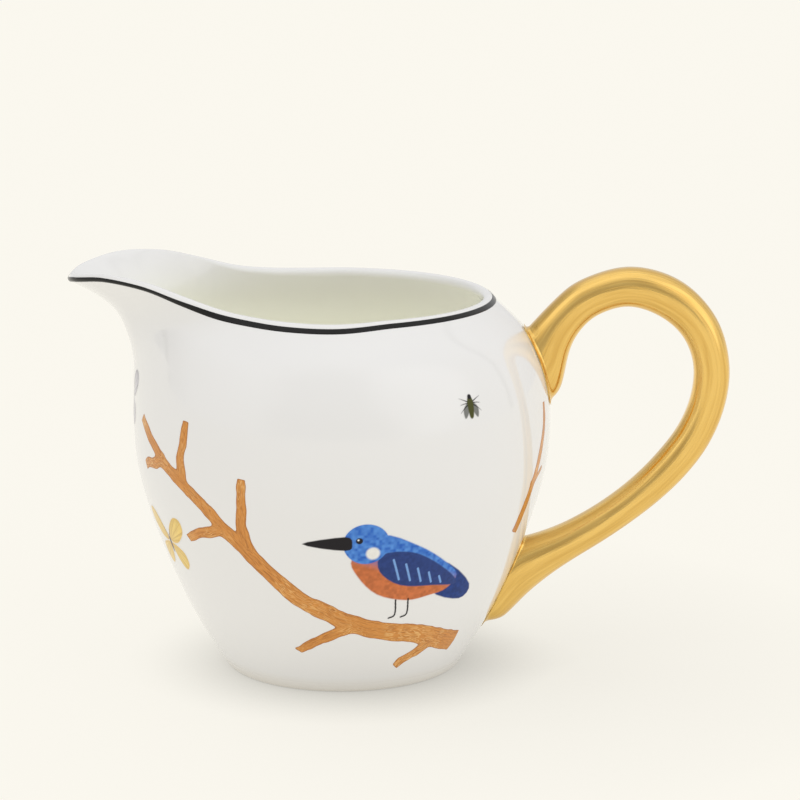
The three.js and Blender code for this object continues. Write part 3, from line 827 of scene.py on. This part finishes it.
class Sheet:
    """Colours laid over one another at points of a flat sheet, in millimetres from its own middle."""

    def __init__(self, x, y):
        self.x, self.y = x, y
        self.colour = np.zeros((*np.shape(x), 3))
        self.cover = np.zeros(np.shape(x))
        self.reach = np.full(np.shape(x), 9.0)

    def lay(self, colour, cover):
        total = cover + self.cover * (1 - cover)
        share = np.where(total > 1e-6, cover / np.maximum(total, 1e-6), 1.0)[..., None]
        self.colour = self.colour * (1 - share) + np.asarray(colour) * share
        self.cover = total

    def shape(self, points, colour, soft=0.12, strength=1.0, mask=1.0):
        """A filled shape; returns the gap to its outline."""
        gap = outline_gap(self.x, self.y, curve(points, closed=True))
        self.lay(colour, strength * mask * softstep(0.5 - gap / (2 * soft)))
        self.reach = np.minimum(self.reach, gap - soft - 0.05)
        return gap

    def line(self, points, width, colour, soft=0.07, strength=1.0, taper=False):
        path = curve(points)
        run, _ = line_place(self.x, self.y, path)
        total = np.linalg.norm(np.diff(path, axis=0), axis=1).sum()
        gap = np.full(np.shape(self.x), 9.0)
        for (ax, ay), (bx, by) in zip(path[:-1], path[1:]):
            ex, ey = bx - ax, by - ay
            share = np.clip(((self.x - ax) * ex + (self.y - ay) * ey) / (ex * ex + ey * ey + 1e-9), 0, 1)
            gap = np.minimum(gap, np.hypot(self.x - ax - share * ex, self.y - ay - share * ey))
        half = width / 2 * (1 - 0.85 * run / total) if taper else width / 2
        cover = strength * softstep(0.5 - (gap - half) / (2 * soft))
        self.lay(colour, cover)
        self.reach = np.minimum(self.reach, gap - half - 0.1)

    def spot(self, x, y, radius, colour, soft=0.08, strength=1.0):
        gap = np.hypot(self.x - x, self.y - y) - radius
        self.lay(colour, strength * softstep(0.5 - gap / (2 * soft)))
        self.reach = np.minimum(self.reach, gap - soft - 0.1)


def painted(name, node, slot, middle, box, step, draw):
    """A print drawn by draw() on a sheet laid on the wall round a middle (degrees, height)."""
    scale = float(along(BOWL_PROFILE, middle[1])) * math.pi / 180
    x, y = np.meshgrid(np.arange(box[0], box[2], step), np.arange(box[1], box[3], step))
    sheet = Sheet(x, y)
    draw(sheet)
    spots, faces, border = film_mesh(x, y, sheet.reach)
    sheet = Sheet(spots[:, 0], spots[:, 1])
    draw(sheet)
    places = np.column_stack([middle[0] + spots[:, 0] / scale, middle[1] + spots[:, 1]])
    paint = np.column_stack([sheet.colour, sheet.cover])
    piece = film_piece(name, places, faces, border, PAINT_LIFT, painted_material(slot), {"paint": paint})
    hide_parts(node)


INK = np.array(tone(30, 27, 30))
BODY = [(-6, 8.6), (2, 5.5), (9, 0.8), (13, -3), (11, -6), (6.5, -7), (1, -7.5), (-6, -5.5), (-10.4, -1),
        (-11.6, 3.4)]
TAIL = [(8, 1), (18, -6.2), (16, -9.4), (7, -6)]
BILL = [(-21.6, 6.6), (-13, 8.4), (-11.6, 6.6), (-13, 5.2)]
WING = [(-5.5, 4), (1, 4), (8, 0), (13.6, -5), (7, -4.6), (-1, -3.6), (-5.8, 0)]
HEAD = (-8.8, 6.6)


def kingfisher(sheet):
    """A plain small bird: blue back, warm belly, barred wing, long bill."""
    y = sheet.y
    rough = mottle(sheet.x, y, 0.6, 11)[..., None]
    blue = np.array(tone(44, 98, 190)) * (1 - rough) + np.array(tone(92, 150, 226)) * rough
    sheet.shape(TAIL, np.array(tone(34, 66, 140)) * (1 - 0.4 * rough), 0.15)
    low = softstep((2.6 - y - 0.35 * sheet.x) / 5)[..., None]
    warm = np.array(tone(214, 122, 72)) * (1 - 0.3 * rough)
    sheet.shape(BODY, blue * (1 - low) + warm * low, 0.18)
    sheet.shape(WING, np.array(tone(40, 60, 116)) * (1 + 0.3 * rough), 0.15)
    for k in range(5):
        bar = [(-3 + 2.8 * k, 2.6 - 1.3 * k), (-1.4 + 2.6 * k, -2.2 - 0.5 * k)]
        sheet.line(bar, 0.45, tone(126, 168, 226))
    sheet.spot(*HEAD, 4.6, blue)
    sheet.spot(HEAD[0] + 1.4, HEAD[1] - 2.2, 1.4, tone(238, 236, 230), 0.3)
    sheet.shape(BILL, INK, 0.1)
    sheet.spot(HEAD[0] - 1.4, HEAD[1] + 0.8, 0.7, INK)
    sheet.spot(HEAD[0] - 1.6, HEAD[1] + 1.0, 0.2, tone(250, 250, 250))
    for foot in (-1.5, 1.5):
        sheet.line([(foot, -7.2), (foot + 0.3, -10.8), (foot - 1.1, -11.6)], 0.4, INK, 0.05)


def fly(sheet):
    """A small fly, the same on both sides."""
    for side in (-1, 1):
        wing = [(0.2 * side, 0.8), (1.9 * side, -0.6), (1.7 * side, -2.6), (0.7 * side, -1.6)]
        sheet.shape(wing, tone(84, 86, 80), 0.15, 0.85)
        for rise in (1.6, 0.2, -1.4):
            leg = [(0, 0.4), (1.5 * side, 0.3 + 0.5 * rise), (2.7 * side, rise)]
            sheet.line(leg, 0.34, INK, 0.06, taper=True)
    sheet.shape([(0, 2), (0.75, 0.9), (0.6, -2), (0, -2.8), (-0.6, -2), (-0.75, 0.9)], tone(74, 76, 34), 0.15)
    sheet.spot(0, 1.7, 0.5, INK)


PLAIN_WINGS = [[(0.3, 0.8), (1.6, 3.6), (4.6, 6.4), (7, 6.2), (7.2, 3.6), (4.4, 0.8), (1.6, 0)],
               [(0.3, -0.4), (2.4, -0.4), (5.2, -1.6), (5.6, -4.2), (3.6, -5.8), (1.4, -4)]]


def winged(wings, fill, edge, vein, body):
    """A drawing of an insect with open wings: each wing shaded out from its root and veined."""

    def draw(sheet):
        x, y = sheet.x, sheet.y
        streak = mottle(np.degrees(np.arctan2(y, x)) * 0.5, np.hypot(x, y) * 0.3, 1.6, 51)[..., None]
        for points in wings:
            gap = outline_gap(x, y, curve(points, closed=True))
            out = np.clip(1 + gap / 1.3, 0, 1)[..., None] ** 2
            colour = np.array(fill) * (1 - 0.55 * out) + np.array(edge) * 0.55 * out
            sheet.shape(points, colour * (0.82 + 0.3 * streak), 0.14)
            middle = np.mean(points, axis=0)
            for turn in (-0.42, -0.2, 0, 0.2, 0.42):
                c, s = math.cos(turn), math.sin(turn)
                tip = np.array([middle[0] * c - middle[1] * s, middle[0] * s + middle[1] * c]) * 1.55
                inside = softstep(-gap / 0.3)
                gap_line = line_place(x, y, [(0, 0), tuple(tip)])[1]
                sheet.lay(vein, 0.55 * inside * softstep(0.5 - (np.abs(gap_line) - 0.06) / 0.12)
                          * (x * tip[0] + y * tip[1] > 0))
        sheet.shape([(0, 1.5), (0.4, 0.6), (0.35, -1.6), (0, -2.6), (-0.35, -1.6), (-0.4, 0.6)], body, 0.1)
        sheet.line([(0.1, 1.4), (0.9, 2.2), (1.2, 3.0)], 0.16, body)
        sheet.line([(-0.1, 1.4), (-0.9, 2.2), (-1.2, 3.0)], 0.16, body)

    return draw


def mirrored(wings):
    return wings + [[(-x, y) for x, y in points] for points in wings]


def insects():
    yellow = dict(fill=tone(240, 208, 122), edge=tone(222, 176, 84), vein=tone(196, 148, 70),
                  body=tone(96, 84, 92))
    grey = dict(fill=tone(196, 194, 202), edge=tone(84, 82, 96), vein=tone(96, 94, 108),
                body=tone(60, 58, 68))
    painted("fly", "fly_transfer", "insect_print", (38, 65.4), (-4, -5, 4, 5), 0.12, fly)
    for name, node, slot, middle, look in (
        ("butterfly", "butterfly_transfer", "yellow_wing_print", (-62, 32), yellow),
        ("far_butterfly", "back_butterfly_transfer", "yellow_wing_print", (180, 47), yellow),
        ("moth", "moth_transfer", "grey_wing_print", (-84, 61), grey),
    ):
        painted(name, node, slot, middle, (-9, -8, 9, 9), 0.16, winged(mirrored(PLAIN_WINGS), **look))


# ---------- stage, light and camera ----------


BACKDROP = (0.956, 0.930, 0.855)
# The floor has most of its level of its own, and the rest from the room. Its shadow is drawn by how much of
# the sky above each place the jug covers: how far it looks, which way it leans, its strength and power.
FLOOR_GLOW = 0.92
FLOOR_LIT = 0.09
SHADOWS = [(0.019, (-0.10, 0.14, 0.98), 0.45, 1.6), (0.085, (-0.75, 0.10, 0.65), 0.18, 1.0)]


def stage():
    """A plain pale floor with a soft shadow."""
    n = Nodes("pale_floor")
    glow = FLOOR_GLOW
    for reach, lean, strength, power in SHADOWS:
        sky = n.add("AmbientOcclusion", samples=8)
        sky.inputs["Distance"].default_value = reach
        way = n.add("CombineXYZ")
        for k in range(3):
            way.inputs[k].default_value = lean[k]
        n.link(way.outputs[0], sky.inputs["Normal"])
        covered = n.math("POWER", n.math("SUBTRACT", 1.0, sky.outputs["AO"]), power)
        glow = n.math("MULTIPLY", n.math("MULTIPLY_ADD", covered, -strength, 1.0), glow)
    n.surface_set(
        Base_Color=(*(FLOOR_LIT * level for level in BACKDROP), 1),
        Roughness=0.9,
        Specular_IOR_Level=0.0,
        Emission_Color=(*BACKDROP, 1),
        Emission_Strength=glow,
    )
    mesh = bpy.data.meshes.new("floor")
    size = 6.0
    corners = [(-size, -size, 0), (size, -size, 0), (size, size, 0), (-size, size, 0)]
    mesh.from_pydata(corners, [], [(0, 1, 2, 3)])
    floor = bpy.data.objects.new("floor", mesh)
    mesh.materials.append(n.material)
    bpy.context.scene.collection.objects.link(floor)


# Soft lights of the room round the jug: direction, how far they reach (cosines of the outer and inner edge),
# and how much they add to the room's own level.
ROOM_LEVEL = 0.895
ROOM_LIGHTS = [
    ((-0.30, -0.05, 0.95), 0.30, 0.95, 0.22),
    ((-0.90, -0.40, 0.35), 0.80, 0.95, 0.15),
    ((0.75, -0.60, 0.45), 0.82, 0.96, 0.50),
    ((-0.10, -0.25, 0.95), 0.86, 0.97, 0.04),
    ((-0.80, 0.35, 0.45), 0.80, 0.96, -0.40),
    ((0.0, -1.0, 0.22), 0.62, 0.93, -0.35),
    ((0.0, 1.0, 0.10), 0.30, 0.90, -0.14),
]
# A thin dark seam in the room behind the jug, which the gold mirrors as fine lines: direction, cosine, half
# width and depth.
ROOM_SEAM = ((0.0, 1.0, 0.0), 0.30, 0.05, -0.5)


def world():
    """A soft studio all round: big pale lights above and beside, darker behind the camera."""
    studio = bpy.data.worlds.new("studio")
    bpy.context.scene.world = studio
    studio.use_nodes = True
    n = Nodes(tree=studio.node_tree)
    background = n.tree.nodes["Background"]
    direction = n.add("TexCoord").outputs["Generated"]
    level = ROOM_LEVEL
    for way, outer, inner, gain in ROOM_LIGHTS:
        facing = n.add("VectorMath", operation="DOT_PRODUCT")
        n.link(direction, facing.inputs[0])
        facing.inputs[1].default_value = unit(np.array(way))
        edge = n.add("MapRange", interpolation_type="SMOOTHSTEP")
        n.link(facing.outputs["Value"], edge.inputs["Value"])
        edge.inputs["From Min"].default_value = outer
        edge.inputs["From Max"].default_value = inner
        edge.inputs["To Max"].default_value = gain
        level = n.math("ADD", edge.outputs["Result"], level)
    way, middle, width, depth = ROOM_SEAM
    facing = n.add("VectorMath", operation="DOT_PRODUCT")
    n.link(direction, facing.inputs[0])
    facing.inputs[1].default_value = way
    off = n.math("ABSOLUTE", n.math("SUBTRACT", facing.outputs["Value"], middle))
    seam = n.math("MULTIPLY_ADD", n.math("MULTIPLY", off, 1 / width), -1.0, 1.0)
    level = n.math("MULTIPLY_ADD", n.math("MAXIMUM", seam, 0.0), depth, level)
    lit = n.add("Background")
    n.link(level, lit.inputs["Strength"])
    lit.inputs["Color"].default_value = (1.0, 1.0, 1.0, 1)
    background.inputs["Color"].default_value = (*BACKDROP, 1)
    seen = n.add("MixShader")
    n.link(n.add("LightPath").outputs["Is Camera Ray"], seen.inputs[0])
    n.link(lit.outputs[0], seen.inputs[1])
    n.link(background.outputs[0], seen.inputs[2])
    n.link(seen.outputs[0], n.tree.nodes["World Output"].inputs["Surface"])


CAMERA_FROM_AXIS = (12.7, -640.0, 201.5)
CAMERA_TILT = 12.58
SENSOR = 36.0
FOCAL_WIDTHS = 3.738


def camera():
    data = bpy.data.cameras.new("camera")
    data.sensor_width = SENSOR
    data.lens = SENSOR * FOCAL_WIDTHS
    data.clip_start = 0.01
    eye = bpy.data.objects.new("camera", data)
    bpy.context.scene.collection.objects.link(eye)
    x, y, z = CAMERA_FROM_AXIS
    eye.location = ((AXIS_X + x) * MM, y * MM, z * MM)
    eye.rotation_euler = (math.radians(90 - CAMERA_TILT), 0, 0)
    bpy.context.scene.camera = eye


# ---------- everything ----------

jug_body()
rim_line()
handle()
BARK = bark_material()
branches()
painted("kingfisher", "kingfisher_transfer", "bird_print", (20, 31), (-24, -13, 20, 13), 0.12, kingfisher)
insects()
stage()
world()
camera()
bpy.context.scene.view_settings.view_transform = "Standard"
